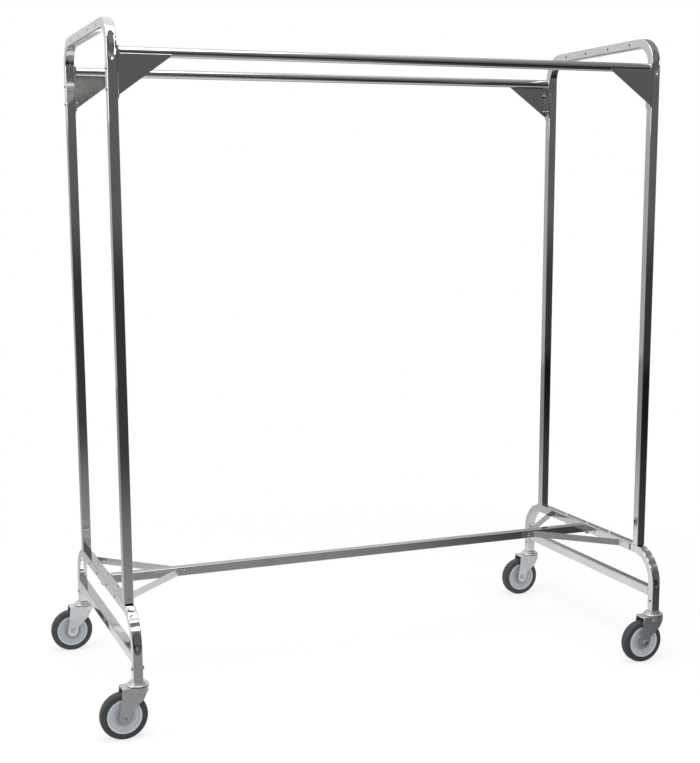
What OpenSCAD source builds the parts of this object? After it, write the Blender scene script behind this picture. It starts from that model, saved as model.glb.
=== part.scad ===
// Double-rail rolling clothes rack: two bent end frames on two bent base frames,
// tied by two round hang rails, a low centre rail and four flat braces, on four swivel casters.
// +X runs along the rails, +Y across the rack, +Z up; the origin is on the floor under the middle.

/* [Rack] */
// Distance between the middles of the two end frames
rack_length = 1560; // [1100:10:2000]
// Distance between the middles of an end frame's two uprights
rack_depth = 566; // [440:2:700]
// Height of the top of the end frames above the floor
rack_height = 1813; // [1400:1:2100]
// Distance between the middles of a base frame's two legs
leg_spread = 738; // [720:2:860]
// Height of the top of the base tubes above the floor
base_height = 333; // [300:1:420]

/* [Square tube] */
// Outer width of the square tube
tube_w = 25.4; // [22:0.2:32]
// Wall of the square tube
tube_wall = 1.6; // [1.2:0.1:2.5]
// Outer corner radius of the square tube
tube_corner_r = 2.4; // [1.6:0.1:4]
// Bend radius of the end frames' corners, to the middle of the tube
top_bend_r = 63.5; // [45:0.5:90]
// Bend radius of the base frames' corners, to the middle of the tube
base_bend_r = 88; // [60:0.5:95]
// Middle of the low stretcher above the floor
stretcher_z = 208; // [200:1:215]

/* [Top holes] */
// Diameter of the holes in an end frame's cross part
top_hole_d = 7; // [5:0.1:9]
// Distance between the two inner side holes
top_hole_inner = 122; // [100:1:140]
// Distance between the two outer side holes
top_hole_outer = 350; // [300:1:380]

/* [Hang rails] */
// Outer diameter of a hang rail
rail_d = 25.4; // [22:0.2:32]
// Wall of a hang rail
rail_wall = 1.5; // [1.2:0.1:3]
// Distance from the top of the end frames down to a rail's axis
rail_drop = 87; // [80:1:140]

/* [Gussets] */
// Thickness of a gusset's upright flange
gusset_flange_t = 3; // [2:0.1:5]
// Thickness of a gusset's web
gusset_web_t = 2.5; // [1.5:0.1:3]
// Length of a gusset's web along the rail, from the upright's face
gusset_reach = 137; // [90:1:180]
// Distance from the rail's axis down to the web's lower end
gusset_web_drop = 104; // [100:1:130]
// Distance from the rail's axis down to the flange's rounded end
gusset_flange_drop = 115; // [112:1:145]
// Distance from the rail's axis up to the flange's top edge
gusset_flange_rise = 13; // [8:0.5:16]
// Distance from the rail's axis down to a gusset's upper bolt
gusset_bolt_drop = 39.5; // [34:0.5:50]
// Distance between a gusset's two bolts
gusset_bolt_pitch = 50; // [35:1:55]

/* [Base] */
// Distance between the two inner through rivets of a base tube
rivet_inner = 122; // [100:1:140]
// Distance between the two outer through rivets of a base tube
rivet_outer = 350; // [300:1:380]
// Distance from the middle top bolt of a base tube to the next one
top_bolt_pitch = 127; // [100:1:140]
// Height of a spigot inside an upright
spigot_length = 60; // [40:1:90]
// Height of a spigot's lock screw above the base tube
spigot_screw_z = 12; // [8:1:30]
// Height of a brace bar
brace_h = 19; // [14:0.5:22]
// Thickness of a brace bar
brace_t = 3; // [2:0.1:5]
// Distance from a base tube along the centre rail to a brace's bend
brace_leg = 190; // [120:1:190]
// Length of a brace's tab on the centre rail
brace_rail_tab = 40; // [30:1:60]
// Length of a brace's tab on the base tube
brace_base_tab = 55; // [30:1:58]
// Thickness of a centre rail bracket
bracket_t = 3; // [2:0.1:4]
// Length of a bracket's plug inside the centre rail
plug_length = 45; // [25:1:80]

/* [Fasteners] */
// Diameter of the frame bolts and rivets
bolt_d = 6; // [4:0.5:8]
// Diameter of an axle bolt and of a stem's cross bolt
axle_d = 8; // [6:0.5:10]
// Diameter of a domed bolt head
head_d = 13; // [10:0.5:16]
// Height of a domed bolt head
head_h = 4; // [2:0.1:5]
// Diameter of a rivet head
rivet_head_d = 10; // [8.5:0.5:12]
// Height of a rivet head
rivet_head_h = 2.4; // [1.5:0.1:3.5]

/* [Casters] */
// Diameter of a wheel over its tyre
wheel_d = 125; // [100:1:130]
// Width of a tyre
tyre_w = 31; // [24:0.5:32]
// Height of the rubber from the hub to the tread
tyre_h = 16; // [8:0.5:22]
// Distance that a wheel trails behind its swivel axis
trail = 39; // [30:1:45]
// Distance between a fork's two plates
fork_gap = 38; // [36:0.5:44]
// Thickness of a fork's plates
fork_t = 3; // [2:0.1:4]
// Outer diameter of the swivel raceway
raceway_d = 57; // [52:1:64]
// Height of the top of a fork above the floor
fork_top_z = 138; // [134:1:142]
// Height of the lower ends of the legs above the floor
leg_bottom_z = 150; // [148:0.5:156]
// Length of a stem inside a leg
stem_length = 62; // [45:1:70]
// Height of a stem's cross bolt above the floor
stem_bolt_z = 183; // [175:1:186]
// Diameter of the kingpin
kingpin_d = 12; // [8:0.5:14]
// Number of balls in a swivel raceway
ball_count = 14; // [6:1:16]
// Diameter of a swivel ball
ball_d = 5; // [3:0.5:6]

/* [Hidden] */
$fn = 64;

// Which end and which side a piece belongs to
LEFT = -1;
RIGHT = 1;
FRONT = -1;
REAR = 1;

// Clearances
hole_gap = 0.2;       // radial, round a bolt or rivet
running_gap = 0.05;   // radial, where a wheel or fork turns on its pin
plug_gap = 0.15;      // round a plug or stem inside a tube
ball_gap = 0.3;       // between a ball and the fork's groove
over = 1;             // how far a cut runs past a face

half_tube = tube_w / 2;
bore_w = tube_w - 2 * tube_wall;
end_x = rack_length / 2;
upright_y = rack_depth / 2;
leg_y = leg_spread / 2;
inner_face_x = end_x - half_tube;
base_mid_z = base_height - half_tube;
base_bottom_z = base_height - tube_w;
rail_z = rack_height - rail_drop;
rail_r = rail_d / 2;
bolt_hole_r = bolt_d / 2 + hole_gap;
axle_hole_r = axle_d / 2 + hole_gap;
gusset_bolt_z = [rail_z - gusset_bolt_drop, rail_z - gusset_bolt_drop - gusset_bolt_pitch];
web_outer_y = upright_y + half_tube;
web_inner_y = web_outer_y - gusset_web_t;
web_top_z = rail_z - rail_r / 2;
nut_af = bolt_d * 1.65;
nut_h = bolt_d * 0.8;
side_rivet_y = [-rivet_outer / 2, -rivet_inner / 2, rivet_inner / 2, rivet_outer / 2];
top_bolt_y = [-top_bolt_pitch, 0, top_bolt_pitch];
plug_w = bore_w - 2 * plug_gap;
brace_rivet_x = inner_face_x - brace_leg - brace_rail_tab / 2;
wheel_r = wheel_d / 2;
hub_r = wheel_r - tyre_h;
raceway_r = raceway_d / 2;
fork_half = fork_gap / 2 + fork_t;
raceway_gap = 1;
raceway_bottom_z = fork_top_z + raceway_gap;
ball_ring_r = raceway_r - 2.1 * ball_d;
ball_mid_z = fork_top_z + raceway_gap / 2;
axle_af = axle_d * 1.625;
axle_head_h = axle_d * 0.66;
axle_nut_h = axle_d * 0.8;

// ---- shared shapes ----

// Outline of the square tube with rounded corners
module tube_outline() {
    flat_w = tube_w - 2 * tube_corner_r;
    square([tube_w, flat_w], center = true);
    square([flat_w, tube_w], center = true);
    for (sx = [-1, 1], sy = [-1, 1])
        translate([sx * flat_w / 2, sy * flat_w / 2]) circle(r = tube_corner_r, $fn = 32);
}

// Outline of a tube's bore
module bore_outline() {
    square(bore_w, center = true);
}

// The given outline as a bar along Z, from low to high
module upright_bar(low, high) {
    translate([0, 0, low]) linear_extrude(high - low) children();
}

// The given outline as a bar along Y, centred
module cross_bar(length) {
    rotate([90, 0, 0]) linear_extrude(length, center = true) children();
}

// The given outline along an inverted U in the YZ plane: legs down to low, its top's middle at mid_z
module bent_u(spread, mid_z, bend_r, low) {
    for (side = [0, 1]) mirror([0, side, 0]) {
        translate([0, spread / 2, 0]) upright_bar(low, mid_z - bend_r) children();
        translate([0, spread / 2 - bend_r, mid_z - bend_r])
            rotate([90, 0, 90]) rotate_extrude(angle = 90) translate([bend_r, 0]) children();
    }
    translate([0, 0, mid_z]) cross_bar(spread - 2 * bend_r) children();
}

// A hollow inverted U of square tube, open at its lower ends
module bent_tube(spread, top_z, bend_r, low) {
    difference() {
        bent_u(spread, top_z - half_tube, bend_r, low) tube_outline();
        bent_u(spread, top_z - half_tube, bend_r, low - over) bore_outline();
    }
}

// Cylinders along X and along Y, from one coordinate to another
module rod_x(from, to, r) {
    translate([from, 0, 0]) rotate([0, 90, 0]) cylinder(r = r, h = to - from);
}

module rod_y(from, to, r) {
    translate([0, to, 0]) rotate([90, 0, 0]) cylinder(r = r, h = to - from);
}

// A domed head standing on Z = 0
module dome(d, h) {
    cap_r = (d * d / 4 + h * h) / (2 * h);
    intersection() {
        translate([0, 0, h - cap_r]) sphere(r = cap_r);
        cylinder(d = d, h = h + over);
    }
}

// A hexagon nut standing on Z = 0, with a clear hole of radius hole_r
module hex_nut(af, h, hole_r) {
    difference() {
        cylinder(d = af / cos(30), h = h, $fn = 6);
        translate([0, 0, -over]) cylinder(r = hole_r, h = h + 2 * over);
    }
}

// Places children at each corner of the rack: end -1 or 1, side -1 or 1
module at_upright(end, side) {
    translate([end * end_x, side * upright_y, 0]) children();
}

module at_leg(end, side) {
    translate([end * end_x, side * leg_y, 0]) children();
}

module at_axle(end, side) {
    translate([end * end_x - trail, side * leg_y, wheel_r]) children();
}

// ---- frames ----

module end_frame(end) {
    color("silver") difference() {
        translate([end * end_x, 0, 0]) bent_tube(rack_depth, rack_height, top_bend_r, base_height);
        for (span = [top_hole_inner, top_hole_outer], side = [-1, 1])
            translate([end * end_x, side * span / 2, rack_height - half_tube])
                rod_x(-tube_w, tube_w, top_hole_d / 2);
        for (y = top_bolt_y)
            translate([end * end_x, y, rack_height - tube_w - over])
                cylinder(d = top_hole_d, h = tube_w + 2 * over);
        for (side = [FRONT, REAR]) at_upright(end, side) {
            for (z = gusset_bolt_z) translate([0, 0, z]) rod_x(-tube_w, tube_w, bolt_hole_r);
            translate([0, side * half_tube, base_height + spigot_screw_z])
                rod_y(-tube_wall - over, tube_wall + over, bolt_hole_r);
        }
    }
}

module base_frame(end) {
    color("silver") difference() {
        translate([end * end_x, 0, 0]) bent_tube(leg_spread, base_height, base_bend_r, leg_bottom_z);
        for (y = side_rivet_y)
            translate([end * end_x, y, base_mid_z]) rod_x(-tube_w, tube_w, bolt_hole_r);
        for (y = top_bolt_y)
            translate([end * end_x, y, base_bottom_z - over])
                cylinder(r = bolt_hole_r, h = tube_w + 2 * over);
        for (side = [FRONT, REAR]) at_leg(end, side)
            translate([0, 0, stem_bolt_z]) rod_x(-tube_w, tube_w, axle_hole_r);
    }
}

module stretcher(end) {
    color("silver") translate([end * end_x, 0, stretcher_z]) difference() {
        cross_bar(leg_spread - tube_w) tube_outline();
        cross_bar(leg_spread) bore_outline();
    }
}

// ---- hang rails and gussets ----

module hang_rail(side) {
    rail_end = inner_face_x - gusset_flange_t;
    color("silver") translate([0, side * upright_y, rail_z]) difference() {
        rod_x(-rail_end, rail_end, rail_r);
        rod_x(-rail_end - over, rail_end + over, rail_r - rail_wall);
    }
}

// Flange outline in the YZ plane, rounded at its lower end
module gusset_flange_outline() {
    round_r = half_tube;
    translate([-half_tube, rail_z - gusset_flange_drop + round_r])
        square([tube_w, gusset_flange_drop + gusset_flange_rise - round_r]);
    translate([0, rail_z - gusset_flange_drop + round_r]) circle(r = round_r);
}

// Web outline in the XZ plane, with X measured from the upright's inner face into the rack
module gusset_web_outline() {
    tip_h = 2;
    polygon([
        [0, web_top_z],
        [0, rail_z - gusset_web_drop],
        [gusset_flange_t, rail_z - gusset_web_drop],
        [gusset_reach, web_top_z - tip_h],
        [gusset_reach, web_top_z]
    ]);
}

// The gusset of the left front corner; the other three are its mirror images
module left_front_gusset_shape() {
    bead_r = 1.8;
    difference() {
        union() {
            translate([-inner_face_x, -upright_y, 0])
                rotate([90, 0, 90]) linear_extrude(gusset_flange_t) gusset_flange_outline();
            translate([-inner_face_x, -web_inner_y, 0])
                rotate([90, 0, 0]) linear_extrude(gusset_web_t) gusset_web_outline();
            translate([0, -web_outer_y + bead_r, web_top_z])
                rod_x(-inner_face_x, -inner_face_x + gusset_reach, bead_r);
        }
        translate([0, -upright_y, rail_z])
            rod_x(-inner_face_x + gusset_flange_t, 0, rail_r + plug_gap / 3);
        for (z = gusset_bolt_z)
            translate([-inner_face_x, -upright_y, z])
                rod_x(-over, gusset_flange_t + over, bolt_hole_r);
    }
}

module gusset(end, side) {
    color("dimgray")
        mirror([end == RIGHT ? 1 : 0, 0, 0]) mirror([0, side == REAR ? 1 : 0, 0])
            left_front_gusset_shape();
}

module gusset_bolts() {
    shank = tube_w + gusset_flange_t + nut_h + 1.5;
    color("gainsboro")
        for (end = [LEFT, RIGHT], side = [FRONT, REAR], z = gusset_bolt_z)
            translate([end * (end_x + half_tube), side * upright_y, z])
                rotate([0, end * 90, 0]) {
                    dome(head_d, head_h);
                    translate([0, 0, -shank]) cylinder(d = bolt_d, h = shank);
                }
}

module gusset_nuts() {
    color("gainsboro")
        for (end = [LEFT, RIGHT], side = [FRONT, REAR], z = gusset_bolt_z)
            translate([end * (inner_face_x - gusset_flange_t), side * upright_y, z])
                rotate([0, -end * 90, 0]) hex_nut(nut_af, nut_h, bolt_d / 2 + hole_gap / 2);
}

// ---- centre rail and braces ----

module centre_rail() {
    rail_end = inner_face_x - bracket_t;
    color("silver") translate([0, 0, base_mid_z]) difference() {
        rotate([0, 0, 90]) cross_bar(2 * rail_end) tube_outline();
        rotate([0, 0, 90]) cross_bar(2 * rail_end + 2 * over) bore_outline();
        for (end = [LEFT, RIGHT])
            translate([end * brace_rivet_x, 0, 0]) rod_y(-tube_w, tube_w, bolt_hole_r);
    }
}

// A plate on the base tube's inner face, a foot under the tube, and a plug inside the rail
module rail_bracket(end) {
    color("lightgray") mirror([end == RIGHT ? 1 : 0, 0, 0]) difference() {
        union() {
            translate([-inner_face_x, -half_tube, base_bottom_z - bracket_t])
                cube([bracket_t, tube_w, tube_w + bracket_t]);
            translate([-inner_face_x - tube_w, -half_tube, base_bottom_z - bracket_t])
                cube([tube_w + bracket_t, tube_w, bracket_t]);
            translate([-inner_face_x, -plug_w / 2, base_mid_z - plug_w / 2])
                cube([bracket_t + plug_length, plug_w, plug_w]);
        }
        translate([-end_x, 0, base_bottom_z - bracket_t - over])
            cylinder(r = bolt_hole_r, h = bracket_t + 2 * over);
    }
}

// Plan outline of the right rear brace: rail tab, bar at 45 degrees, base tab
module brace_outline() {
    bend_x = inner_face_x - brace_leg;
    bend_y = half_tube + brace_leg;
    shift = brace_t * tan(22.5);
    polygon([
        [bend_x - brace_rail_tab, half_tube],
        [bend_x, half_tube],
        [inner_face_x, bend_y],
        [inner_face_x, bend_y + brace_base_tab],
        [inner_face_x - brace_t, bend_y + brace_base_tab],
        [inner_face_x - brace_t, bend_y + shift],
        [bend_x - shift, half_tube + brace_t],
        [bend_x - brace_rail_tab, half_tube + brace_t]
    ]);
}

module brace(end, side) {
    color("darkgray")
        mirror([end == LEFT ? 1 : 0, 0, 0]) mirror([0, side == FRONT ? 1 : 0, 0])
            difference() {
                translate([0, 0, base_mid_z]) linear_extrude(brace_h, center = true) brace_outline();
                translate([brace_rivet_x, 0, base_mid_z]) rod_y(0, tube_w, bolt_hole_r);
            }
}

module brace_rivets() {
    grip = half_tube + brace_t;
    color("gainsboro")
        for (end = [LEFT, RIGHT]) translate([end * brace_rivet_x, 0, base_mid_z]) {
            rod_y(-grip, grip, bolt_d / 2);
            for (side = [FRONT, REAR])
                translate([0, side * grip, 0]) rotate([-side * 90, 0, 0])
                    dome(rivet_head_d, rivet_head_h);
        }
}

// ---- base fasteners and spigots ----

// The middle bolt also holds a rail bracket's foot, so its nut sits lower
function nut_seat_z(y) = y == 0 ? base_bottom_z - bracket_t : base_bottom_z;

module base_top_bolts() {
    color("gainsboro")
        for (end = [LEFT, RIGHT], y = top_bolt_y) translate([end * end_x, y, 0]) {
            translate([0, 0, base_height]) dome(head_d, head_h);
            upright_bar(nut_seat_z(y) - nut_h - 1.5, base_height) circle(d = bolt_d);
        }
}

module base_top_nuts() {
    color("gainsboro")
        for (end = [LEFT, RIGHT], y = top_bolt_y)
            translate([end * end_x, y, nut_seat_z(y) - nut_h])
                hex_nut(nut_af, nut_h, bolt_d / 2 + hole_gap / 2);
}

module base_side_rivets() {
    color("gainsboro")
        for (end = [LEFT, RIGHT], y = side_rivet_y) translate([end * end_x, y, base_mid_z]) {
            rod_x(-half_tube, half_tube, bolt_d / 2);
            for (face = [-1, 1])
                translate([face * half_tube, 0, 0]) rotate([0, face * 90, 0])
                    dome(rivet_head_d, rivet_head_h);
        }
}

module upright_spigots() {
    color("gray")
        for (end = [LEFT, RIGHT], side = [FRONT, REAR]) at_upright(end, side) difference() {
            upright_bar(base_height, base_height + spigot_length) square(plug_w, center = true);
            translate([0, 0, base_height + spigot_screw_z])
                rod_y(-plug_w, plug_w, bolt_hole_r);
        }
}

module spigot_screws() {
    screw_length = half_tube + 4;
    color("gray")
        for (end = [LEFT, RIGHT], side = [FRONT, REAR]) at_upright(end, side)
            translate([0, side * (half_tube + 0.4), base_height + spigot_screw_z])
                rotate([side * 90, 0, 0]) cylinder(d = bolt_d, h = screw_length);
}

// ---- casters ----

module stem_cross_bolts() {
    color("gainsboro")
        for (end = [LEFT, RIGHT], side = [FRONT, REAR]) at_leg(end, side)
            translate([-half_tube, 0, stem_bolt_z]) {
                rotate([0, -90, 0]) dome(head_d, head_h);
                rod_x(0, tube_w + head_h, axle_d / 2);
            }
}

// Domed cap nuts, blind at their outer ends
module stem_cap_nuts() {
    cap_h = head_h + 2;
    color("gainsboro")
        for (end = [LEFT, RIGHT], side = [FRONT, REAR]) at_leg(end, side)
            translate([half_tube, 0, stem_bolt_z]) rotate([0, 90, 0]) difference() {
                dome(head_d, cap_h);
                translate([0, 0, -over])
                    cylinder(r = axle_d / 2 + hole_gap / 2, h = head_h + over + hole_gap);
            }
}

// Square stem inside the leg, on a kingpin whose riveted head carries the fork
module stem(end, side) {
    rivet_r = kingpin_d / 2 + 3;
    rivet_h = 3;
    washer_gap = 0.3;
    color("gray") at_leg(end, side) {
        difference() {
            upright_bar(leg_bottom_z, leg_bottom_z + stem_length) square(plug_w, center = true);
            translate([0, 0, stem_bolt_z]) rod_x(-tube_w, tube_w, axle_hole_r);
        }
        upright_bar(fork_top_z - fork_t - washer_gap - rivet_h, leg_bottom_z)
            circle(d = kingpin_d);
        upright_bar(fork_top_z - fork_t - washer_gap - rivet_h, fork_top_z - fork_t - washer_gap)
            circle(r = rivet_r);
    }
}

// Fixed upper raceway: a shallow domed cup under the leg
module raceway(end, side) {
    rim_r = 2.5;
    seat_r = raceway_r - 8;
    color("lightgray") at_leg(end, side) difference() {
        translate([0, 0, raceway_bottom_z]) rotate_extrude() {
            square([raceway_r - rim_r, 2 * rim_r]);
            translate([raceway_r - rim_r, rim_r]) circle(r = rim_r);
            square([seat_r, leg_bottom_z - raceway_bottom_z]);
        }
        translate([0, 0, raceway_bottom_z - over])
            cylinder(r = kingpin_d / 2 + hole_gap, h = leg_bottom_z - raceway_bottom_z + 2 * over);
        ball_groove(hole_gap);
    }
}

// The ring-shaped space that the balls run in
module ball_groove(gap) {
    translate([0, 0, ball_mid_z]) rotate_extrude() translate([ball_ring_r, 0])
        circle(r = ball_d / 2 + gap);
}

module swivel_balls() {
    color("white")
        for (end = [LEFT, RIGHT], side = [FRONT, REAR]) at_leg(end, side)
            for (i = [0 : ball_count - 1])
                rotate([0, 0, i * 360 / ball_count])
                    translate([ball_ring_r, 0, ball_mid_z]) sphere(d = ball_d);
}

// Side outline of a fork plate in the XZ plane, from the swivel axis: broad above, round at the axle
module fork_plate_outline() {
    end_r = 15;
    nose_x = trail + 4.5;
    back_x = 20;
    slope = atan((trail + back_x) / (fork_top_z - wheel_r - end_r));
    translate([-trail, wheel_r]) circle(r = end_r);
    polygon([
        [-nose_x, fork_top_z],
        [-trail - end_r, wheel_r],
        [-trail, wheel_r],
        [-trail + end_r * cos(slope / 2), wheel_r - end_r * sin(slope / 2)],
        [-trail + end_r + 4, wheel_r + end_r],
        [back_x - 9, fork_top_z - 32],
        [back_x, fork_top_z - 12],
        [back_x, fork_top_z]
    ]);
}

// Stamped fork: two plates, a flat bridge over the wheel and a round skirted crown
module fork(end, side) {
    skirt_h = 14;
    bridge_x = trail + 4.5;
    color("lightgray") at_leg(end, side) difference() {
        union() {
            for (face = [-1, 1])
                translate([0, face * (fork_gap + fork_t) / 2, 0]) rotate([90, 0, 0])
                    linear_extrude(fork_t, center = true) fork_plate_outline();
            translate([-bridge_x, -fork_half, fork_top_z - fork_t])
                cube([bridge_x, 2 * fork_half, fork_t]);
            difference() {
                upright_bar(fork_top_z - skirt_h, fork_top_z) circle(r = raceway_r);
                upright_bar(fork_top_z - skirt_h - over, fork_top_z - fork_t)
                    circle(r = raceway_r - fork_t);
                translate([-raceway_r - over, -fork_half, fork_top_z - skirt_h - over])
                    cube([raceway_r + over, 2 * fork_half, skirt_h + over - fork_t]);
            }
        }
        translate([0, 0, fork_top_z - fork_t - over])
            cylinder(r = kingpin_d / 2 + running_gap, h = fork_t + 2 * over);
        ball_groove(ball_gap);
        translate([-trail, 0, wheel_r]) rod_y(-tube_w, tube_w, axle_hole_r);
    }
}

module axle(end, side) {
    color("gainsboro") at_axle(end, side) {
        rod_y(-fork_half - axle_nut_h - 1.5, fork_half, axle_d / 2);
        translate([0, fork_half + axle_head_h, 0]) rotate([90, 0, 0])
            cylinder(d = axle_af / cos(30), h = axle_head_h, $fn = 6);
    }
}

module axle_nut(end, side) {
    color("gainsboro") at_axle(end, side)
        translate([0, -fork_half, 0]) rotate([90, 0, 0])
            hex_nut(axle_af, axle_nut_h, axle_d / 2 + hole_gap / 2);
}

// Half outline of a hub: X is the radius, Y the distance from the wheel's middle plane
module hub_outline() {
    boss_half = fork_gap / 2 - 0.5;
    boss_r = axle_d / 2 + 8;
    step_half = tyre_w / 2 - 1.5;
    step_r = boss_r + 10;
    disc_half = tyre_w / 2 - 4;
    rim_half = tyre_w / 2 - 1;
    rim_t = 3.5;
    translate([0, -boss_half]) square([boss_r, 2 * boss_half]);
    translate([0, -step_half]) square([step_r, 2 * step_half]);
    translate([0, -disc_half]) square([hub_r, 2 * disc_half]);
    translate([hub_r - rim_t, -rim_half]) square([rim_t, 2 * rim_half]);
}

module hub(end, side) {
    color("lightsteelblue") at_axle(end, side) rotate([90, 0, 0]) difference() {
        rotate_extrude() hub_outline();
        cylinder(r = axle_d / 2 + running_gap, h = fork_gap, center = true);
    }
}

// Half outline of a tyre with rounded shoulders
module tyre_outline() {
    shoulder_r = 5;
    tread_w = tyre_w - 2 * shoulder_r;
    translate([hub_r, -tyre_w / 2]) square([wheel_r - shoulder_r - hub_r, tyre_w]);
    translate([hub_r, -tread_w / 2]) square([wheel_r - hub_r, tread_w]);
    for (face = [-1, 1])
        translate([wheel_r - shoulder_r, face * tread_w / 2]) circle(r = shoulder_r);
}

module tyre(end, side) {
    color("darkslategray") at_axle(end, side) rotate([90, 0, 0])
        rotate_extrude() tyre_outline();
}

// ---- the object's pieces ----

end_frame(LEFT);  // left_end_frame
end_frame(RIGHT);  // right_end_frame
base_frame(LEFT);  // left_base_frame
base_frame(RIGHT);  // right_base_frame
stretcher(LEFT);  // left_stretcher
stretcher(RIGHT);  // right_stretcher
hang_rail(FRONT);  // front_hang_rail
hang_rail(REAR);  // rear_hang_rail
gusset(LEFT, FRONT);  // left_front_gusset
gusset(LEFT, REAR);  // left_rear_gusset
gusset(RIGHT, FRONT);  // right_front_gusset
gusset(RIGHT, REAR);  // right_rear_gusset
gusset_bolts();
gusset_nuts();
centre_rail();
rail_bracket(LEFT);  // left_rail_bracket
rail_bracket(RIGHT);  // right_rail_bracket
brace(LEFT, FRONT);  // left_front_brace
brace(LEFT, REAR);  // left_rear_brace
brace(RIGHT, FRONT);  // right_front_brace
brace(RIGHT, REAR);  // right_rear_brace
brace_rivets();
base_top_bolts();
base_top_nuts();
base_side_rivets();
upright_spigots();
spigot_screws();
stem_cross_bolts();
stem_cap_nuts();
swivel_balls();
stem(LEFT, FRONT);  // left_front_stem
raceway(LEFT, FRONT);  // left_front_raceway
fork(LEFT, FRONT);  // left_front_fork
axle(LEFT, FRONT);  // left_front_axle
axle_nut(LEFT, FRONT);  // left_front_axle_nut
hub(LEFT, FRONT);  // left_front_hub
tyre(LEFT, FRONT);  // left_front_tyre
stem(LEFT, REAR);  // left_rear_stem
raceway(LEFT, REAR);  // left_rear_raceway
fork(LEFT, REAR);  // left_rear_fork
axle(LEFT, REAR);  // left_rear_axle
axle_nut(LEFT, REAR);  // left_rear_axle_nut
hub(LEFT, REAR);  // left_rear_hub
tyre(LEFT, REAR);  // left_rear_tyre
stem(RIGHT, FRONT);  // right_front_stem
raceway(RIGHT, FRONT);  // right_front_raceway
fork(RIGHT, FRONT);  // right_front_fork
axle(RIGHT, FRONT);  // right_front_axle
axle_nut(RIGHT, FRONT);  // right_front_axle_nut
hub(RIGHT, FRONT);  // right_front_hub
tyre(RIGHT, FRONT);  // right_front_tyre
stem(RIGHT, REAR);  // right_rear_stem
raceway(RIGHT, REAR);  // right_rear_raceway
fork(RIGHT, REAR);  // right_rear_fork
axle(RIGHT, REAR);  // right_rear_axle
axle_nut(RIGHT, REAR);  // right_rear_axle_nut
hub(RIGHT, REAR);  // right_rear_hub
tyre(RIGHT, REAR);  // right_rear_tyre
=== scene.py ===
# %% [markdown]
# # A rolling clothes rack
# A shop rack of chromed square tube stands on four swivel casters. The engineering model gives
# every piece its place and size. This lesson gives the pieces their finish, and it remakes the
# ones whose shape a bending press or a mould leaves softer than the drawing.

# %% Load the rack
from math import atan2, cos, exp, pi, radians, sin, sqrt

import bmesh
import bpy
from mathutils import Matrix, Vector


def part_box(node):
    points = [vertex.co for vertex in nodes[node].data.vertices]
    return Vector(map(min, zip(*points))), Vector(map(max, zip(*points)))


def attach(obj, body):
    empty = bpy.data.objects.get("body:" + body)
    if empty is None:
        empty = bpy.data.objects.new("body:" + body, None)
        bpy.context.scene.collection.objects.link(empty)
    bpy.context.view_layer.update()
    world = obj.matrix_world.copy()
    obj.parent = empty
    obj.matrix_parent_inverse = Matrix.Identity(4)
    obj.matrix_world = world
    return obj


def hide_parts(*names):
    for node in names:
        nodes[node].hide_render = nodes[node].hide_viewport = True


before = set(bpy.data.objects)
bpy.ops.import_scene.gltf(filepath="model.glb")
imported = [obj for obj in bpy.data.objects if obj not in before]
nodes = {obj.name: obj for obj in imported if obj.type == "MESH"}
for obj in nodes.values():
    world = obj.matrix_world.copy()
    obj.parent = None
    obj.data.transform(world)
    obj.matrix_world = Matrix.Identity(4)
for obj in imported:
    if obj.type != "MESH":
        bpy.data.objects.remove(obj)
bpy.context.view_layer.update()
print("pieces loaded:", len(nodes))

# %% [markdown]
# ## Where things are
# The tube is one stock size all over the rack. The rest of the places come from the loaded pieces'
# own boxes, so the lesson holds if the rack is made longer or wider. All lengths are in metres.

# %% Sizes shared by the pieces
TUBE = 0.0254
HALF = TUBE / 2
CORNER_R = 0.0024
TOP_BEND_R = 0.0635
BASE_BEND_R = 0.088
HOLE_R = 0.0035
CORNERS = ["left_front", "left_rear", "right_front", "right_rear"]
ENDS = {"left": -1, "right": 1}

end_low, end_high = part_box("right_end_frame")
base_low, base_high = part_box("right_base_frame")
END_X = (end_low.x + end_high.x) / 2
UPRIGHT_Y = end_high.y - HALF
LEG_Y = base_high.y - HALF
print("upright at", round(END_X, 4), round(UPRIGHT_Y, 4), "leg at", round(LEG_Y, 4))

# %% [markdown]
# ## Camera
# A long lens a little above waist height looks down the rack from its front left. The small shift
# puts the rack in the frame without tilting the uprights.

# %% Make the camera
LENS = 62.6768
CAMERA_PLACE = (-1.48314, -3.58336, 1.37075)
PAN, TILT, ROLL = -0.3611, pi / 2 - 0.1625, -0.0069

camera_data = bpy.data.cameras.new("camera")
camera_data.sensor_width = 36.0
camera_data.lens = LENS
camera_data.shift_x = 0.0368
camera_data.shift_y = 0.0440
camera = bpy.data.objects.new("camera", camera_data)
camera.matrix_world = (
    Matrix.Translation(CAMERA_PLACE)
    @ Matrix.Rotation(PAN, 4, "Z")
    @ Matrix.Rotation(TILT, 4, "X")
    @ Matrix.Rotation(ROLL, 4, "Z")
)
bpy.context.scene.collection.objects.link(camera)
bpy.context.scene.camera = camera
bpy.context.scene.view_settings.view_transform = "Standard"
print("lens", round(camera_data.lens, 2), "mm")

# %% [markdown]
# ## Shader sums as plain expressions
# A material is a graph of small nodes. Wiring dozens of them by hand hides the idea, so one class
# wraps a socket and lets Python's own + - * / add the Math nodes, and one method adds any other
# node from its type, its settings and its inputs.

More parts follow.
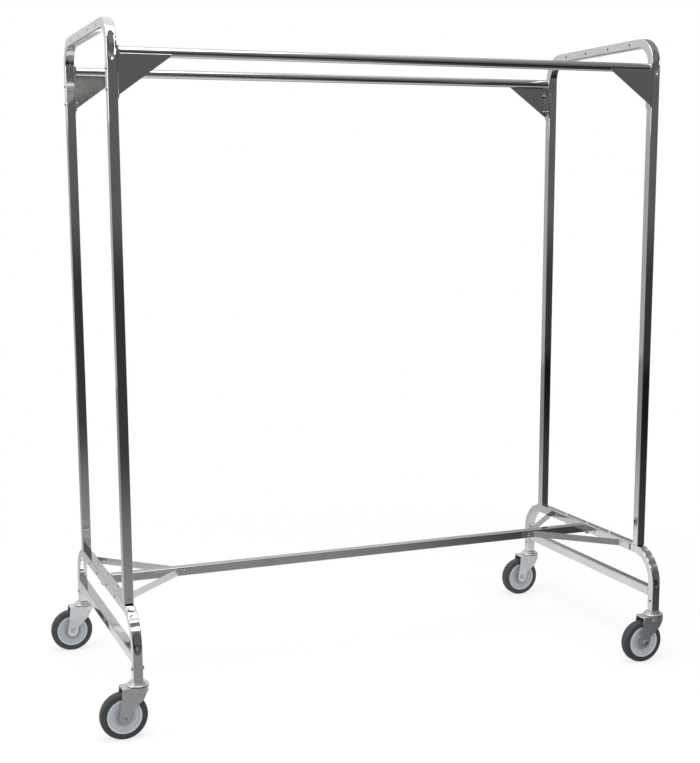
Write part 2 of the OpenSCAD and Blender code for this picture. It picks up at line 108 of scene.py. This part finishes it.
# %% The shader helpers
class Value:
    """A shader socket that can be used in a sum."""

    def __init__(self, graph, socket):
        self.graph = graph
        self.socket = socket

    def other(self, name):
        """Another output of the node that this socket belongs to."""
        return Value(self.graph, self.socket.node.outputs[name])

    def maths(self, operation, *others):
        settings = {"operation": operation}
        return self.graph.add("ShaderNodeMath", settings, dict(enumerate((self, *others))))

    def __add__(self, other):
        return self.maths("ADD", other)

    def __sub__(self, other):
        return self.maths("SUBTRACT", other)

    def __rsub__(self, other):
        return self.graph.add("ShaderNodeMath", {"operation": "SUBTRACT"}, {0: other, 1: self})

    def __mul__(self, other):
        return self.maths("MULTIPLY", other)

    __radd__ = __add__
    __rmul__ = __mul__

    def step(self, low, high):
        """0 below low, 1 above high, and smooth between them."""
        settings = {"interpolation_type": "SMOOTHSTEP"}
        inputs = {"Value": self, "From Min": low, "From Max": high}
        return self.graph.add("ShaderNodeMapRange", settings, inputs)


class Graph:
    """The node tree of one material or of the world."""

    def __init__(self, owner, output_type):
        owner.use_nodes = True
        self.tree = owner.node_tree
        self.tree.nodes.clear()
        self.output = self.tree.nodes.new(output_type)

    def add(self, kind, settings=None, inputs=None, out=0):
        node = self.tree.nodes.new(kind)
        for name, value in (settings or {}).items():
            setattr(node, name, value)
        for name, value in (inputs or {}).items():
            if isinstance(value, Value):
                self.tree.links.new(value.socket, node.inputs[name])
            else:
                node.inputs[name].default_value = value
        return Value(self, node.outputs[out])

    def mix(self, factor, first, second):
        """One colour blended into another."""
        node = self.tree.nodes.new("ShaderNodeMix")
        node.data_type = "RGBA"
        for socket, value in zip((node.inputs[0], node.inputs[6], node.inputs[7]),
                                 (factor, first, second)):
            if isinstance(value, Value):
                self.tree.links.new(value.socket, socket)
            else:
                socket.default_value = value
        return Value(self, node.outputs[2])

    def finish(self, surface):
        self.tree.links.new(surface.socket, self.output.inputs["Surface"])


def rgb(red, green, blue):
    return (red, green, blue, 1.0)


print("a colour is four numbers:", rgb(0.5, 0.5, 0.5))


# %% [markdown]
# ## A studio round the rack
# Chrome has no colour of its own: it shows the room. The room here is pale behind and above the
# rack and dim on the camera's side, as a studio is, so the faces that look at the camera go dark
# and the faces that look sideways go light. Only glossy rays see that room. Camera rays see plain
# white, and diffuse rays get an even light that shows a colour about as it is written.

# %% The world
world = bpy.data.worlds.new("studio")
bpy.context.scene.world = world
room = Graph(world, "ShaderNodeOutputWorld")
is_camera = room.add("ShaderNodeLightPath", out="Is Camera Ray")
is_glossy = is_camera.other("Is Glossy Ray")
is_clear = is_camera.other("Is Transmission Ray")
direction = room.add("ShaderNodeTexCoord", out="Generated")
to_right = room.add("ShaderNodeSeparateXYZ", inputs={0: direction})
to_back = to_right.other("Y")
to_top = to_right.other("Z")

patches = room.add("ShaderNodeTexNoise", {"noise_dimensions": "3D"},
                   {"Vector": direction, "Scale": 2.4, "Detail": 2.0, "Roughness": 0.5})
dim_right = to_right.step(0.36, 0.56)
back_wall = 0.50 + 0.28 * to_top.step(0.03, 0.11) - 0.15 * to_top.step(0.15, 0.25)
back_wall = back_wall + 0.45 * to_top.step(0.30, 0.50) + 0.16 * (patches - 0.5)
back_wall = back_wall * (1 - 0.70 * dim_right * to_top.step(0.10, 0.30))
front_wall = 0.045 + 0.09 * to_top.step(-0.06, -0.01) + 0.10 * to_top.step(0.20, 0.40)
front_wall = front_wall + 0.30 * to_top.step(0.50, 0.80) * (1 - 0.8 * dim_right)
front_wall = front_wall + 0.10 * (patches - 0.5) * to_top.step(-0.2, 0.1)
facing = (0.12 - to_back).step(0.0, 0.34)
room_light = back_wall * (1 - facing) + front_wall * facing
brightness = 0.80 * (1 - is_glossy) + room_light * is_glossy
white = is_camera.maths("MAXIMUM", is_clear)
brightness = white + (1 - white) * brightness
room.finish(room.add("ShaderNodeBackground", None,
                     {"Color": rgb(1, 1, 1), "Strength": brightness}))
print("world nodes:", len(room.tree.nodes))

# %% [markdown]
# ## Floor and lamps
# A plain pale floor keeps the soft shadow under the wheels. Two large soft lamps stand well away,
# so their edges show in the bends as the long highlights that polished tube has.

# %% The floor
FLOOR_SIZE = 6.0
floor_mesh = bpy.data.meshes.new("floor")
bm = bmesh.new()
bmesh.ops.create_grid(bm, x_segments=2, y_segments=2, size=FLOOR_SIZE)
bm.to_mesh(floor_mesh)
bm.free()
floor = bpy.data.objects.new("floor", floor_mesh)
bpy.context.scene.collection.objects.link(floor)

print("floor:", round(floor.dimensions.x, 2), "m square")

# %% [markdown]
# The floor's paint has two halves, as the room has. A glossy ray sees it pale behind the rack and
# dim ahead of it. A camera ray sees a white that glows more with distance, so no horizon shows.

# %% The floor's paint
floor_material = bpy.data.materials.new("pale_floor")
ground = Graph(floor_material, "ShaderNodeOutputMaterial")
seen = ground.add("ShaderNodeLightPath", out="Is Camera Ray")
mirrored = seen.other("Is Glossy Ray")
spot = ground.add("ShaderNodeTexCoord", out="Object")
to_side = ground.add("ShaderNodeSeparateXYZ", inputs={0: spot})
toward_back = to_side.other("Y")
away = ground.add("ShaderNodeVectorMath", {"operation": "LENGTH"}, {0: spot}, out="Value")
ahead = (-0.15 - toward_back).step(0.0, 0.35)
back_level = 0.85 - 0.28 * away.step(0.8, 1.5) - 0.24 * away.step(1.4, 3.2)
front_level = 0.28 - 0.22 * (0 - toward_back).step(0.9, 4.2)
front_level = front_level * (1 - 0.78 * to_side.step(0.2, 1.3))
level = back_level * (1 - ahead) + front_level * ahead
grey = ground.mix(level, rgb(0, 0, 0), rgb(1, 1, 1))
colour = ground.mix(mirrored, rgb(0.97, 0.97, 0.97), grey)
paper = ground.add("ShaderNodeBsdfDiffuse", None, {"Color": colour})
glow = ground.add("ShaderNodeEmission", None, {"Color": rgb(1, 1, 1), "Strength": 1.0})
bright = seen * (0.72 + 0.28 * away.step(0.9, 2.2))
ground.finish(ground.add("ShaderNodeMixShader", None, {0: bright, 1: paper, 2: glow}))
floor_mesh.materials.append(floor_material)
print("floor nodes:", len(ground.tree.nodes))

# %% The lamps
def soft_lamp(name, place, target, size, power):
    """A square soft lamp that looks at a target."""
    data = bpy.data.lights.new(name, "AREA")
    data.shape = "SQUARE"
    data.size = size
    data.energy = power
    lamp = bpy.data.objects.new(name, data)
    aim = (Vector(target) - Vector(place)).to_track_quat("-Z", "Y")
    lamp.matrix_world = Matrix.Translation(place) @ aim.to_matrix().to_4x4()
    bpy.context.scene.collection.objects.link(lamp)


soft_lamp("top_lamp", (-0.6, -1.4, 4.2), (0.0, 0.0, 0.8), 2.4, 60.0)
soft_lamp("side_lamp", (-4.2, -0.6, 2.6), (0.0, 0.0, 0.9), 1.8, 42.0)
print("lamps:", len(bpy.data.lights))

# %% [markdown]
# ## Metal and plastic
# Every finish starts from one recipe: a base colour that drifts a little, a roughness raised by
# smudges and fine scratches, and a shallow bump that keeps a reflection from being perfect. What
# changes between finishes is how much of each there is.

# %% The recipe
def finish_material(name, colour, worn, metal, rough, smudge, grain, bump, stretch=(1, 1, 1),
                    coat=0.0, centre=None):
    """A finish in Object coordinates. grain is the size of its pattern and bump its height.

    centre is a second colour of painted shade, used where the piece's own attribute of that name
    says so."""
    material = bpy.data.materials.new(name)
    g = Graph(material, "ShaderNodeOutputMaterial")
    place = g.add("ShaderNodeTexCoord", out="Object")
    along = g.add("ShaderNodeMapping", None, {"Vector": place, "Scale": stretch})
    cloud = g.add("ShaderNodeTexNoise", None,
                  {"Vector": place, "Scale": 14.0, "Detail": 4.0, "Roughness": 0.6})
    fine = g.add("ShaderNodeTexNoise", None,
                 {"Vector": along, "Scale": 1.0 / grain, "Detail": 3.0, "Roughness": 0.65})
    scratch = g.add("ShaderNodeTexNoise", None,
                    {"Vector": along, "Scale": 0.35 / grain, "Detail": 6.0, "Roughness": 0.75})
    marks = cloud.step(0.42, 0.78)
    lines = scratch.step(0.60, 0.72)
    tone = g.mix(marks * 0.6 + lines * 0.25, rgb(*colour), rgb(*worn))
    # Painted shade: where the piece's centre attribute says so, the tone blends into the darker
    # centre colour.
    if centre:
        boss_shade_mask = g.add("ShaderNodeAttribute", {"attribute_name": "centre"}, out="Fac")
        tone = g.mix(boss_shade_mask, tone, rgb(*centre))
    roughness = rough + smudge * marks + smudge * 0.7 * lines
    relief = g.add("ShaderNodeBump", None,
                   {"Height": fine + 0.6 * cloud, "Strength": 0.35, "Distance": bump})
    settings = {"Base Color": tone, "Metallic": metal, "Roughness": roughness, "Normal": relief}
    if coat:
        settings.update({"Coat Weight": coat, "Coat Roughness": 0.12})
    g.finish(g.add("ShaderNodeBsdfPrincipled", None, settings))
    return material


print("recipe:", finish_material.__doc__.splitlines()[0])

# %% The finishes
chrome = finish_material("polished_chrome", (0.70, 0.70, 0.70), (0.60, 0.60, 0.59), 1.0,
                         0.05, 0.07, 0.006, 0.00006)
rail_chrome = finish_material("rail_chrome", (0.66, 0.65, 0.65), (0.56, 0.55, 0.54), 1.0,
                              0.09, 0.08, 0.004, 0.00005, (0.1, 1, 1))
web_steel = finish_material("plated_sheet", (0.62, 0.63, 0.59), (0.48, 0.49, 0.45), 1.0,
                            0.16, 0.14, 0.003, 0.00008, (1, 1, 0.15))
flat_steel = finish_material("plated_flat_bar", (0.66, 0.67, 0.68), (0.54, 0.54, 0.53), 1.0,
                             0.18, 0.12, 0.003, 0.00008)
zinc = finish_material("zinc_plate", (0.76, 0.78, 0.79), (0.58, 0.60, 0.61), 1.0,
                       0.40, 0.14, 0.004, 0.00012)
screw_zinc = finish_material("bolt_plate", (0.46, 0.46, 0.45), (0.30, 0.30, 0.29), 1.0,
                             0.20, 0.16, 0.002, 0.00006)
# The drilled walls are bare steel, painted near black as the shade inside the holes.
bare_hole_wall_shade = finish_material("hole_wall_painted_shade", (0.045, 0.043, 0.040), (0.03, 0.028, 0.026), 0.3,
                              0.65, 0.1, 0.003, 0.00008)
dull_steel = finish_material("inside_steel", (0.32, 0.32, 0.31), (0.20, 0.20, 0.19), 1.0,
                             0.35, 0.15, 0.003, 0.00008)
# The wheel plastic's centre colour is painted shade, darker round the boss where the hub is
# dished.
wheel_plastic = finish_material("wheel_plastic", (0.44, 0.50, 0.55), (0.37, 0.43, 0.47), 0.0,
                                0.38, 0.12, 0.003, 0.00010, coat=0.15,
                                centre=(0.25, 0.235, 0.24))
rubber = finish_material("tyre_rubber", (0.036, 0.037, 0.039), (0.062, 0.062, 0.063), 0.0,
                         0.46, 0.18, 0.0025, 0.00020)
print("materials with the floor's:", len(bpy.data.materials))

# %% [markdown]
# ## Finishes for the loaded pieces
# Rails, braces, forks and fasteners already have their true shape. Each keeps its mesh and gets
# its finish in its own material slots. The pieces that are remade further on are painted too, so
# each loaded piece has a finish whether or not it is shown.

# %% Paint the loaded pieces
def finish_of(name):
    """The finish a loaded piece wears."""
    if "gusset" in name and "bolts" not in name and "nuts" not in name:
        return web_steel
    if name.endswith(("hang_rail", "centre_rail")):
        return rail_chrome
    if name.endswith("_brace"):
        return flat_steel
    if name.endswith(("fork", "raceway", "bracket", "axle_nut")):
        return zinc
    if name.endswith("tyre"):
        return rubber
    if name.endswith("hub"):
        return wheel_plastic
    if "spigot" in name and "screws" not in name or name.endswith("_stem"):
        return dull_steel
    if name.endswith(("frame", "stretcher")):
        return chrome
    return screw_zinc


for name, piece in nodes.items():
    if not piece.data.materials:
        piece.data.materials.append(None)
    for index in range(len(piece.data.materials)):
        piece.data.materials[index] = finish_of(name)
print("painted", len(nodes), "pieces")

# %% [markdown]
# ## Turning a bmesh into a piece
# Each remade piece rides on the body of the loaded piece that it stands for, and lies with its
# object at the origin.

# %% The piece helper
SHARP_DEGREES = 35


def make_piece(name, bm, materials, body, replaced):
    """An object from a bmesh, riding on a body in place of the loaded pieces."""
    bmesh.ops.recalc_face_normals(bm, faces=bm.faces)
    mesh = bpy.data.meshes.new(name)
    for face in bm.faces:
        face.smooth = True
    for edge in bm.edges:
        edge.smooth = edge.calc_face_angle(0) < radians(SHARP_DEGREES)
    bm.to_mesh(mesh)
    bm.free()
    for material in materials:
        mesh.materials.append(material)
    piece = bpy.data.objects.new(name, mesh)
    bpy.context.scene.collection.objects.link(piece)
    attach(piece, body)
    if replaced:
        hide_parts(*replaced)
    print(name, len(mesh.vertices), "points")
    return piece


def even_normals(piece):
    """Keeps the big flats flat and lets only the small corners round the light."""
    even = piece.modifiers.new("even_normals", "WEIGHTED_NORMAL")
    even.keep_sharp = True
    even.weight = 90


print("an edge over", SHARP_DEGREES, "degrees stays sharp")

# %% [markdown]
# ## Square tube, bent on a press
# A press bends square tube round a die, and the outer wall can't stretch enough, so it sinks
# into a long dimple. Another setting of the press leaves a row of ripples. A sweep makes the sound
# tube: a rounded square ring is extruded up a leg, spun round the bend, extruded along the top and
# taken down again. The walls of each bend are then pushed in point by point, as the press does.

# %% Sweep a bent tube
FLAT_CUTS = 11
CORNER_CUTS = 5
BEND_STEPS = 72
LEG_STEPS = 22
FINE_LEG = 0.045


def tube_ring(bm, x, y, z):
    """A rounded square ring lying flat, with its flats cut finely enough to be dented."""
    ring = bmesh.ops.create_circle(bm, segments=4, radius=HALF * sqrt(2))["verts"]
    bmesh.ops.rotate(bm, verts=ring, cent=(0, 0, 0), matrix=Matrix.Rotation(pi / 4, 3, "Z"))
    bmesh.ops.bevel(bm, geom=bm.verts[:], offset=CORNER_R, offset_type="OFFSET",
                    affect="VERTICES", segments=CORNER_CUTS, profile=0.5, material=-1)
    flats = [e for e in bm.edges if e.calc_length() > HALF]
    bmesh.ops.subdivide_edges(bm, edges=flats, cuts=FLAT_CUTS)
    bmesh.ops.translate(bm, verts=bm.verts, vec=(x, y, z))
    return bm.verts[:] + bm.edges[:]


def extrude_by(bm, geom, vec, steps):
    """Extrudes a ring along a straight in equal steps and returns the last ring."""
    for _ in range(steps):
        edges = [g for g in geom if isinstance(g, bmesh.types.BMEdge)]
        new = bmesh.ops.extrude_edge_only(bm, edges=edges)["geom"]
        verts = [g for g in new if isinstance(g, bmesh.types.BMVert)]
        bmesh.ops.translate(bm, verts=verts, vec=Vector(vec) / steps)
        geom = verts + [g for g in new if isinstance(g, bmesh.types.BMEdge)
                        and g.verts[0] in verts and g.verts[1] in verts]
    return geom


def bend(bm, geom, centre):
    """Spins a ring a quarter turn towards the rack's front and returns the last ring."""
    turned = bmesh.ops.spin(bm, geom=geom, cent=centre, axis=(1, 0, 0), angle=pi / 2,
                            steps=BEND_STEPS, use_merge=False, use_duplicate=False)
    return turned["geom_last"]


print("steps in a bend:", BEND_STEPS)

# %% Sweep the whole tube
def bent_tube(x, leg_y, foot_z, top_z, bend_r):
    """The tube's outer skin, from its rear foot over the top to its front foot, and closed."""
    bm = bmesh.new()
    start_z = top_z - HALF - bend_r
    geom = tube_ring(bm, x, leg_y, foot_z)
    geom = extrude_by(bm, geom, (0, 0, start_z - FINE_LEG - foot_z), 1)
    geom = extrude_by(bm, geom, (0, 0, FINE_LEG), LEG_STEPS)
    geom = bend(bm, geom, (x, leg_y - bend_r, start_z))
    geom = extrude_by(bm, geom, (0, -2 * (leg_y - bend_r), 0), 1)
    geom = bend(bm, geom, (x, bend_r - leg_y, start_z))
    geom = extrude_by(bm, geom, (0, 0, -FINE_LEG), LEG_STEPS)
    extrude_by(bm, geom, (0, 0, foot_z + FINE_LEG - start_z), 1)
    bmesh.ops.remove_doubles(bm, verts=bm.verts, dist=1e-6)
    rims = [e for e in bm.edges if len(e.link_faces) == 1]
    bmesh.ops.holes_fill(bm, edges=rims, sides=0)
    return bm


print("leg that is cut finely:", FINE_LEG, "m")

# %% [markdown]
# ## Dents
# A point on a bend is described by how far round the bend it lies, how far across the tube, and
# how far out from the tube's middle line. A dent's depth is a function of the first two, and the
# third tells the outer wall from the inner one. So the same few lines make the long dimple of the
# end frames and the ripples of the base frames.

# %% Find a point's place on a bend
def bend_place(point, x, leg_y, start_z, bend_r):
    """Arc length past the bend's start, place across, outward direction, distance outward."""
    side = 1 if point.y > 0 else -1
    across = point.x - x
    y = abs(point.y)
    if point.z <= start_z:
        return point.z - start_z, across, Vector((0, side, 0)), y - leg_y
    arm_y, arm_z = y - (leg_y - bend_r), point.z - start_z
    angle = atan2(arm_z, arm_y)
    out = sqrt(arm_y * arm_y + arm_z * arm_z) - bend_r
    return angle * (bend_r + HALF), across, Vector((0, side * cos(angle), sin(angle))), out


top_of_bend = Vector((0, UPRIGHT_Y - TOP_BEND_R, TOP_BEND_R))
turned = bend_place(top_of_bend, 0, UPRIGHT_Y, 0, TOP_BEND_R)[0]
print("outer wall of an end frame's bend:", round(turned, 4), "m long")

# %% The shapes of the dents
def fade_in(s, start, stop, ease):
    """1 between start and stop, and a straight ramp to 0 at each of them."""
    return max(0.0, min(1.0, (s - start) / ease, (stop - s) / ease))


def oval_sink(s, across, middle, half_long, half_wide, depth):
    """The depth of an oval sink, and the place in it: 0 at its middle and 1 at its rim."""
    reach = sqrt(((s - middle) / half_long) ** 2 + (across / half_wide) ** 2)
    return (depth * (1 - reach ** 4) if reach < 1 else 0.0), reach


def long_dimple(s, across):
    """A deep oval sink along the tube, eased a little at its rim."""
    sink, reach = oval_sink(s, across, 0.004, 0.037, 0.0104, 0.0052)
    return sink - 0.0005 * exp(-((reach - 1.08) / 0.09) ** 2)


def ripples(s, across):
    """Short waves, deepest along the tube's middle, and one long dimple below them."""
    start, stop, pitch = 0.050, 0.149, 0.0275
    wave = 0.0017 * fade_in(s, start, stop, 0.010) * (1 - cos(2 * pi * (s - start) / pitch))
    hollow = 1 - 0.35 * (across / HALF) ** 2
    return wave * hollow + oval_sink(s, across, 0.019, 0.030, 0.0115, 0.0030)[0]


def groove(s, across):
    """The inner wall of an end frame's bend sinks along its middle."""
    return 0.0016 * fade_in(s, 0.0, 0.098, 0.012) * max(0.0, 1 - (across / 0.0095) ** 2)


def wrinkles(s, across):
    """The inner wall of a base frame's bend is pressed into small waves across the tube."""
    return 0.0006 * fade_in(s, 0.010, 0.120, 0.008) * (1 - cos(2 * pi * s / 0.021))


print("long dimple, at its middle:", round(long_dimple(0.004, 0.0), 4), "m deep")

# %% Push the bends in
DENT_REACH = 0.05


def dent(bm, x, leg_y, top_z, bend_r, shape, inner_shape):
    """Pushes the outer and the inner wall of both bends in by the given shapes."""
    start_z = top_z - HALF - bend_r
    for vert in bm.verts:
        if abs(vert.co.y) < leg_y - bend_r or vert.co.z < start_z - DENT_REACH:
            continue
        s, across, outward, out = bend_place(vert.co, x, leg_y, start_z, bend_r)
        if out > HALF - CORNER_R:
            share = min(1.0, (out - HALF + CORNER_R) / CORNER_R + 0.25)
            vert.co -= outward * max(0.0, shape(s, across)) * share
        elif out < CORNER_R - HALF:
            vert.co += outward * inner_shape(s, across)


print("a dent reaches", DENT_REACH, "m down the leg at most")

# %% [markdown]
# ## Drilled holes
# The top of each end frame is drilled four times from side to side and three times from above. A
# drill is a thin cylinder, and a Boolean takes all of them away at once. The result is read back
# as plain mesh, so no live modifier is left.

# %% Drill
def drilled(bm, drills):
    """The bmesh with every drill taken out of it. A drill is a middle, an axis and a length."""
    work = bpy.data.meshes.new("work")
    bmesh.ops.recalc_face_normals(bm, faces=bm.faces)
    bm.to_mesh(work)
    bm.free()
    cutter = bmesh.new()
    for middle, axis, length in drills:
        turn = Vector((0, 0, 1)).rotation_difference(Vector(axis)).to_matrix().to_4x4()
        bmesh.ops.create_cone(cutter, cap_ends=True, segments=32, radius1=HOLE_R,
                              radius2=HOLE_R, depth=length,
                              matrix=Matrix.Translation(middle) @ turn)
    cutter_mesh = bpy.data.meshes.new("cutter")
    bmesh.ops.recalc_face_normals(cutter, faces=cutter.faces)
    cutter.to_mesh(cutter_mesh)
    cutter.free()
    blank = bpy.data.objects.new("blank", work)
    tool = bpy.data.objects.new("tool", cutter_mesh)
    for item in (blank, tool):
        bpy.context.scene.collection.objects.link(item)
    cut = blank.modifiers.new("cut", "BOOLEAN")
    cut.operation = "DIFFERENCE"
    cut.solver = "EXACT"
    cut.object = tool
    result = bmesh.new()
    result.from_object(blank, bpy.context.evaluated_depsgraph_get())
    for item in (blank, tool):
        bpy.data.objects.remove(item)
    return result


print("drill:", round(2 * HOLE_R, 4), "m across")

# %% End frames
HOLE_SPANS = (0.122, 0.350)
DROP_Y = (-0.127, 0.0, 0.127)
SKIN = 0.0003
cross_z = end_high.z - HALF
for end, sign in ENDS.items():
    x = sign * END_X
    bm = bent_tube(x, UPRIGHT_Y, end_low.z, end_high.z, TOP_BEND_R)
    dent(bm, x, UPRIGHT_Y, end_high.z, TOP_BEND_R, long_dimple, groove)
    drills = [((x, side * span / 2, cross_z), (1, 0, 0), 2 * TUBE)
              for span in HOLE_SPANS for side in (-1, 1)]
    drills += [((x, y, cross_z), (0, 0, 1), 2 * TUBE) for y in DROP_Y]
    bm = drilled(bm, drills)
    # Faces deep in the tube, the drilled walls, take slot 1: bare steel painted near black as the
    # holes' shade.
    for face in bm.faces:
        inside = face.calc_center_median() - Vector((x, 0, cross_z))
        deep = max(abs(inside.x), abs(inside.z)) < HALF - SKIN
        face.material_index = 1 if deep and abs(inside.y) < UPRIGHT_Y - TOP_BEND_R else 0
    even_normals(make_piece(f"{end}_end_tube", bm, [chrome, bare_hole_wall_shade], "rack_frame",
                            [f"{end}_end_frame"]))

# %% Base frames
for end, sign in ENDS.items():
    x = sign * END_X
    bm = bent_tube(x, LEG_Y, base_low.z, base_high.z, BASE_BEND_R)
    dent(bm, x, LEG_Y, base_high.z, BASE_BEND_R, ripples, wrinkles)
    even_normals(make_piece(f"{end}_base_tube", bm, [chrome], "rack_frame",
                            [f"{end}_base_frame"]))

# %% [markdown]
# ## Gussets
# A gusset is cut from sheet and folded once, so its outer fold is round, not sharp. The loaded
# piece is copied and merged, its flats are joined into whole faces, and a bevel rolls the fold.

# %% Roll the gussets' folds
FOLD_R = 0.0045
SAME = 0.0002
LONG_EDGE = 0.02
for corner in CORNERS:
    name = f"{corner}_gusset"
    low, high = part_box(name)
    fold_x = max(abs(low.x), abs(high.x))
    fold_y = max(abs(low.y), abs(high.y))
    bm = bmesh.new()
    bm.from_mesh(nodes[name].data)
    bmesh.ops.remove_doubles(bm, verts=bm.verts, dist=1e-5)
    bmesh.ops.dissolve_limit(bm, angle_limit=radians(1), verts=bm.verts, edges=bm.edges)
    folds = [e for e in bm.edges if abs(e.verts[0].co.z - e.verts[1].co.z) > LONG_EDGE
             and all(abs(v.co.x) > fold_x - SAME and abs(v.co.y) > fold_y - SAME
                     for v in e.verts)]
    bmesh.ops.bevel(bm, geom=folds, offset=FOLD_R, offset_type="OFFSET", affect="EDGES",
                    segments=6, profile=0.5, material=-1)
    print(name, "folds rolled:", len(folds))
    even_normals(make_piece(f"{corner}_folded_gusset", bm, [web_steel], "rack_frame",
                            [name]))

# %% [markdown]
# ## Wheels
# A wheel is a moulded plastic centre with a rubber tyre shrunk on. Both are shapes of revolution,
# so each starts as a half outline that is spun once round the axle. The outline carries what a
# mould leaves: a raised rim, a dished web, a stepped boss and rounded tyre shoulders.

# %% Spin an outline
WHEEL_STEPS = 96


def spun(outline, centre, soften, segments):
    """Spins (radius, along the axle) points round a Y axis through the centre."""
    bm = bmesh.new()
    points = [bm.verts.new((radius, along, 0)) for radius, along in outline]
    for first, second in zip(points, points[1:]):
        bm.edges.new((first, second))
    bmesh.ops.bevel(bm, geom=points[1:-1], offset=soften, offset_type="OFFSET",
                    affect="VERTICES", segments=segments, profile=0.5, material=-1)
    bmesh.ops.spin(bm, geom=bm.verts[:] + bm.edges[:], cent=(0, 0, 0), axis=(0, 1, 0),
                   angle=2 * pi, steps=WHEEL_STEPS, use_merge=True, use_duplicate=False)
    bmesh.ops.remove_doubles(bm, verts=bm.verts, dist=1e-7)
    bmesh.ops.translate(bm, verts=bm.verts, vec=centre)
    return bm


print("steps round a wheel:", WHEEL_STEPS)

# %% The outlines
BORE_R = 0.00405


def both_sides(half):
    """A closed outline from the half that lies on one side of the wheel."""
    return half + [(radius, -along) for radius, along in reversed(half)] + [half[0]]


def hub_half(hub_r, half_w, boss_w):
    """Bore, boss, stepped web and raised rim, as (radius, along the axle) points."""
    face = half_w - 0.0040
    return [(BORE_R, boss_w), (0.0088, boss_w), (0.0098, boss_w - 0.0016),
            (0.0120, half_w - 0.0016), (0.0205, half_w - 0.0022), (0.0222, face - 0.0010),
            (0.0330, face - 0.0030), (hub_r - 0.0085, face - 0.0020),
            (hub_r - 0.0062, half_w - 0.0010), (hub_r - 0.0012, half_w - 0.0006),
            (hub_r - 0.0004, half_w - 0.0016), (hub_r - 0.0002, half_w - 0.0030)]


def tyre_half(hub_r, wheel_r, half_w):
    """Seat, side wall, shoulder and tread, as (radius, along the axle) points."""
    return [(hub_r - 0.0001, half_w - 0.0032), (hub_r + 0.0005, half_w - 0.0010),
            (hub_r + 0.0030, half_w), (wheel_r - 0.0062, half_w - 0.0006),
            (wheel_r - 0.0018, half_w - 0.0032), (wheel_r, half_w - 0.0085),
            (wheel_r, 0.0004)]


print("points in a hub's half:", len(hub_half(0.0465, 0.015, 0.017)))

# %% [markdown]
# The wheel centre's plastic is painted darker round its boss, as painted shade for its dished
# middle.
# Each of its points carries that shade as an attribute: 1 at the boss, 0 out on the web, and a
# ramp between them.

# %% Hubs and tyres
# How far out the painted shade round the boss reaches, and over what width it fades.
BOSS_SHADE_R = 0.034
BOSS_SHADE_RAMP = 0.014
for corner in CORNERS:
    low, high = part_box(f"{corner}_tyre")
    hub_low, hub_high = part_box(f"{corner}_hub")
    centre = (low + high) / 2
    wheel_r, half_w = (high.z - low.z) / 2, (high.y - low.y) / 2
    hub_r, boss_w = (hub_high.z - hub_low.z) / 2, (hub_high.y - hub_low.y) / 2
    bm = spun(both_sides(hub_half(hub_r, half_w, boss_w)), centre, 0.0005, segments=2)
    boss_shade_mask = bm.verts.layers.float.new("centre")
    for vert in bm.verts:
        reach = sqrt((vert.co.x - centre.x) ** 2 + (vert.co.z - centre.z) ** 2)
        vert[boss_shade_mask] = min(1.0, max(0.0, (BOSS_SHADE_R - reach) / BOSS_SHADE_RAMP))
    even_normals(make_piece(f"{corner}_wheel_centre", bm, [wheel_plastic],
                            f"{corner}_wheel", [f"{corner}_hub"]))
    bm = spun(both_sides(tyre_half(hub_r, wheel_r, half_w)), centre, 0.0012, segments=3)
    make_piece(f"{corner}_tyre_ring", bm, [rubber], f"{corner}_wheel",
               [f"{corner}_tyre"])

# %% [markdown]
# ## Weld beads
# Each rail is welded to its gusset's flange. A weld is a row of overlapping puddles of metal, so
# the bead is a thin ring spun round the rail whose thickness rises and falls along it.

# %% Rail welds
BEAD_R = 0.0022
BEAD_LIFT = 0.0004
BEAD_INSET = 0.0012
PUDDLES = 18
weld = finish_material("weld_metal", (0.62, 0.62, 0.61), (0.40, 0.39, 0.37), 1.0,
                       0.16, 0.16, 0.0015, 0.00015)
for row in ("front", "rear"):
    low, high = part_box(f"{row}_hang_rail")
    axis_y, axis_z = (low.y + high.y) / 2, (low.z + high.z) / 2
    ring_r = (high.z - low.z) / 2 + BEAD_LIFT
    for end, sign in ENDS.items():
        flange_x = high.x if sign > 0 else low.x
        bm = bmesh.new()
        bead = bmesh.ops.create_circle(bm, segments=10, radius=BEAD_R)["verts"]
        bmesh.ops.translate(bm, verts=bead, vec=(0, ring_r, 0))
        bmesh.ops.spin(bm, geom=bm.verts[:] + bm.edges[:], cent=(0, 0, 0), axis=(1, 0, 0),
                       angle=2 * pi, steps=90, use_merge=True, use_duplicate=False)
        for vert in bm.verts:
            turn = atan2(vert.co.z, vert.co.y)
            ring = Vector((0, cos(turn), sin(turn))) * ring_r
            thickness = 0.85 + 0.25 * abs(sin(turn * PUDDLES / 2))
            vert.co = ring + (vert.co - ring) * thickness
        bmesh.ops.translate(bm, verts=bm.verts,
                            vec=(flange_x - sign * BEAD_INSET, axis_y, axis_z))
        for vert in bm.verts:
            vert.co.x = sign * min(sign * vert.co.x, sign * flange_x)
        make_piece(f"{end}_{row}_rail_weld", bm, [weld], "rack_frame", [])

# %% [markdown]
